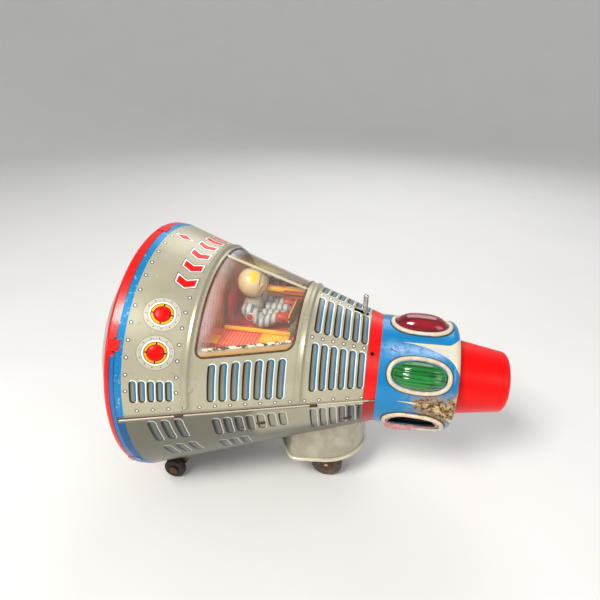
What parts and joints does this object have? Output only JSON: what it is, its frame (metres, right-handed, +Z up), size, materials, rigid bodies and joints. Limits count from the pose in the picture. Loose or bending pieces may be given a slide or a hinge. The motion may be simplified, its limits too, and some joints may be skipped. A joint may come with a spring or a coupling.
{
  "type": "tin space capsule toy",
  "caption": "Battery-driven tin space capsule: cone body with a cockpit window, a lamp drum with oval lenses, a blunt nose and a swivelling drive unit.",
  "frame": {"origin": "centre of the object's box, on the surface that its wheels stand on", "axes": "+X along the capsule's axis to the nose, +Z up, -Y the side with the whole lens"},
  "size_m": [0.2768, 0.1782, 0.1832],
  "materials": {
    "tin_litho": "lithographed tin, satin, worn",
    "rim_red": "gloss, chipped",
    "shield_gray": "satin",
    "canopy_clear": "clear, yellowed",
    "cockpit_litho": "lithographed",
    "figure_ivory": "satin",
    "figure_red": "satin",
    "figure_stripe": "satin",
    "drum_blue": "gloss, rusted",
    "nose_red": "gloss",
    "lens_red": "translucent",
    "lens_green": "translucent, ribbed",
    "steel": "satin",
    "brass": "dull",
    "bare_tin": "dull",
    "bulb_glass": "clear",
    "battery_wrap": "gloss",
    "motor_can": "satin",
    "rubber": "matte"
  },
  "bodies": {
    "capsule": {"upper_shell": "tin_litho", "lower_shell": "tin_litho", "rim_ring": "rim_red", "heat_shield": "shield_gray", "canopy": "canopy_clear", "cockpit_floor": "cockpit_litho", "cockpit_rear_panel": "cockpit_litho", "cockpit_front_panel": "cockpit_litho", "side_consoles": "cockpit_litho", "instrument_panel": "cockpit_litho", "seat": "cockpit_litho", "astronaut_helmet": "figure_ivory", "astronaut_torso": "figure_red", "astronaut_arms": "figure_stripe", "astronaut_legs": "figure_stripe", "control_grip": "figure_red", "lens_housing": "drum_blue", "nose_cone": "nose_red", "lamp_bracket": "steel", "lamp_socket": "brass", "lamp_bulb": "bulb_glass", "switch_pin": "steel", "switch_bracket": "steel", "battery_box": "bare_tin", "battery_lower": "battery_wrap", "battery_upper": "battery_wrap", "battery_contacts": "brass", "door_hinge_pin": "steel", "door_hinge_leaves": "bare_tin", "drive_fairing": "shield_gray", "drive_base_plate": "bare_tin", "drive_top_plate": "bare_tin", "gearbox_posts": "steel", "gearbox_screws": "steel", "drive_motor": "motor_can", "rear_bracket_near": "bare_tin", "rear_bracket_far": "bare_tin", "rear_axle_pins": "brass", "bracket_rivets": "steel", "lens_red_top": "lens_red", "lens_green_near": "lens_green", "lens_red_low_near": "lens_red", "lens_green_bottom": "lens_green", "lens_red_low_far": "lens_red", "lens_green_far": "lens_green"},
    "switch_lever": {"switch_lever": "steel"},
    "battery_door": {"battery_door": "tin_litho"},
    "motor_rotor": {"motor_pinion": "brass"},
    "drive_shaft": {"drive_shaft": "steel", "spur_gear": "brass", "shaft_pinion": "brass"},
    "turntable": {"turntable": "bare_tin", "turntable_collar": "steel"},
    "drive_wheels": {"drive_axle": "steel", "crown_gear": "brass", "drive_wheel_near": "rubber", "drive_wheel_far": "rubber"},
    "rear_wheel_near": {"rear_wheel_near": "rubber"},
    "rear_wheel_far": {"rear_wheel_far": "rubber"}
  },
  "joints": [
    {"name": "rear_wheel_near_spin", "type": "hinge", "parent": "capsule", "child": "rear_wheel_near", "pos_m": [-0.08905, -0.043, 0.008], "axis": [0, 1, 0], "continuous": true},
    {"name": "rear_wheel_far_spin", "type": "hinge", "parent": "capsule", "child": "rear_wheel_far", "pos_m": [-0.08905, 0.043, 0.008], "axis": [0, 1, 0], "continuous": true},
    {"name": "turntable_swivel", "type": "hinge", "parent": "capsule", "child": "turntable", "pos_m": [0.02335, 0, 0.0316], "axis": [0, 0, 1], "continuous": true},
    {"name": "drive_wheels_spin", "type": "hinge", "parent": "turntable", "child": "drive_wheels", "pos_m": [0.02335, 0, 0.0115], "axis": [0, 1, 0], "continuous": true},
    {"name": "drive_shaft_spin", "type": "hinge", "parent": "capsule", "child": "drive_shaft", "pos_m": [0.02335, 0, 0.0436], "axis": [0, 0, 1], "continuous": true},
    {"name": "motor_spin", "type": "hinge", "parent": "capsule", "child": "motor_rotor", "pos_m": [0.00935, 0, 0.0436], "axis": [0, 0, 1], "continuous": true},
    {"name": "switch_lever_swing", "type": "hinge", "parent": "capsule", "child": "switch_lever", "pos_m": [0.04155, 0, 0.12604], "axis": [0, 1, 0], "range_deg": [-22, 0]},
    {"name": "battery_door_swing", "type": "hinge", "parent": "capsule", "child": "battery_door", "pos_m": [-0.06025, 0.04371, 0.0288], "axis": [0.9453, -0.1824, 0.2704], "range_deg": [0, 95]}
  ],
  "couplings": [
    {"joint": "drive_shaft_spin", "follows": "drive_wheels_spin", "ratio": -3},
    {"joint": "motor_spin", "follows": "drive_wheels_spin", "ratio": 12}
  ]
}
